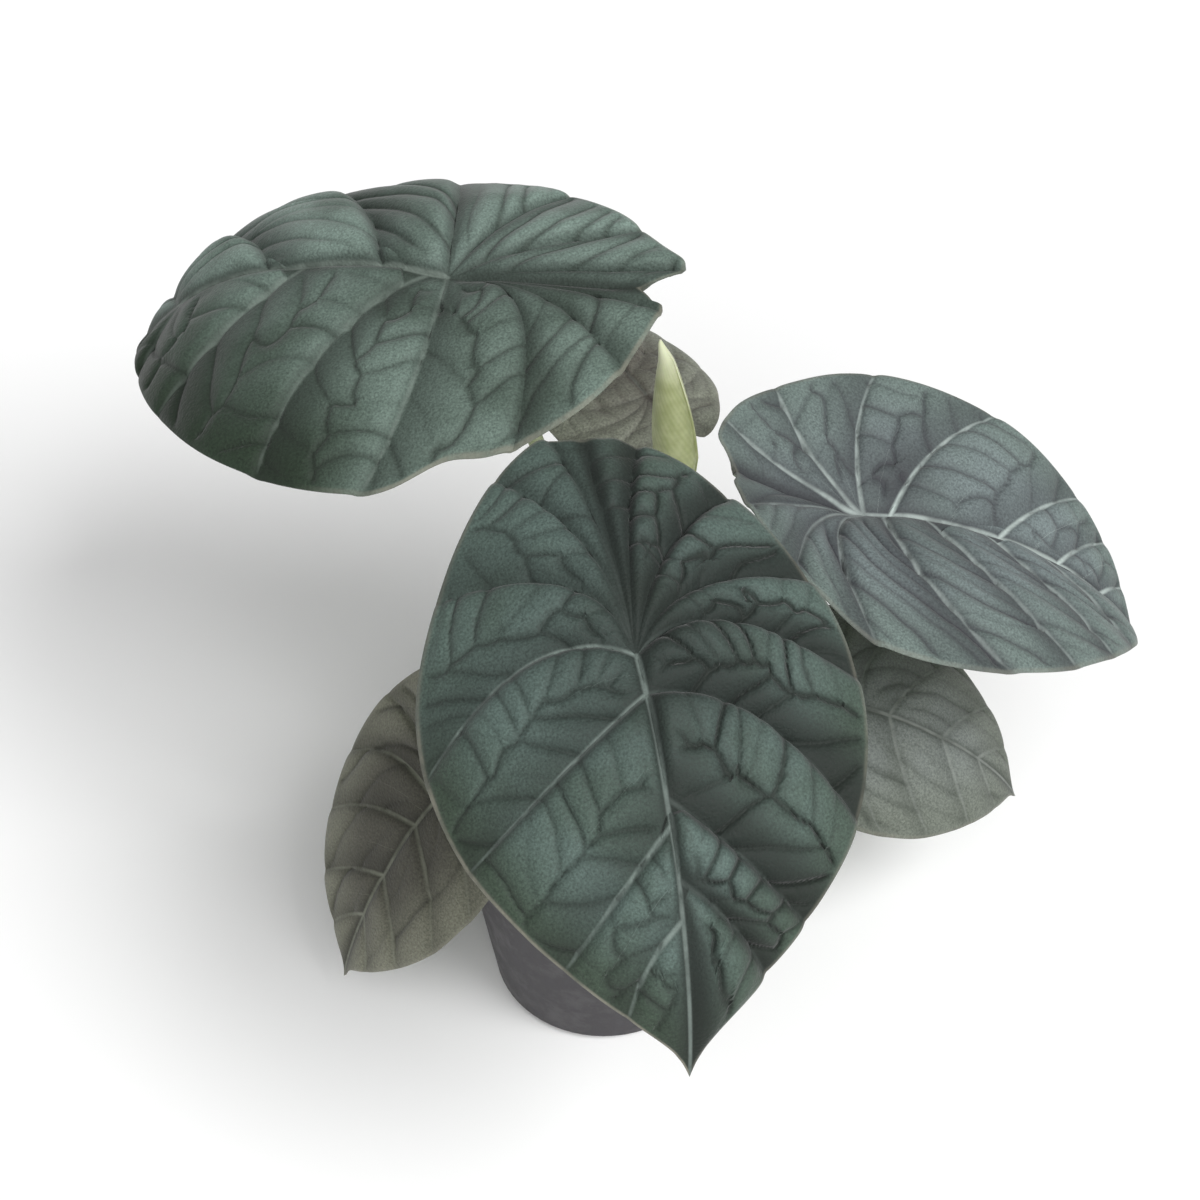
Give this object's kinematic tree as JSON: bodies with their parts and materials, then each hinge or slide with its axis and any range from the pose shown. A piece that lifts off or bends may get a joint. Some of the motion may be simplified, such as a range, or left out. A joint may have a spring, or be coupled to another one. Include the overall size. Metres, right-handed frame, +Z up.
{
  "type": "potted maharani alocasia",
  "caption": "Small aroid house plant with thick, quilted, shield-shaped grey-green leaves on arching stalks and one rolled new leaf, growing from a corm in a round tapered nursery pot.",
  "frame": {"origin": "centre of the pot's flat base, on the surface that it stands on", "axes": "+Z up, -Y towards the side with the largest hanging leaf, +X to the right seen from there"},
  "size_m": [0.3414, 0.3027, 0.259],
  "materials": {
    "pot": "satin dark blue-grey polypropylene",
    "soil": "crumbly moist potting mix",
    "corm": "fibrous dull skin",
    "blade": "velvety matte, grey-green with paler veins",
    "blade_old": "velvety matte, olive",
    "blade_pale": "velvety matte, pale grey-green with paler veins",
    "stalk": "smooth satin, pale green, browner at the foot",
    "new_leaf": "smooth satin, pale yellow-green"
  },
  "bodies": {
    "root": {"pot": "pot", "soil": "soil", "corm": "corm", "blade_back_left": "blade", "stalk_back_left": "stalk", "blade_front": "blade", "stalk_front": "stalk", "blade_right": "blade", "stalk_right": "stalk", "blade_back": "blade", "stalk_back": "stalk", "blade_low_right": "blade_pale", "stalk_low_right": "stalk", "blade_low_left": "blade_old", "stalk_low_left": "stalk", "new_leaf": "new_leaf", "stalk_new_leaf": "stalk"}
  },
  "joints": []
}
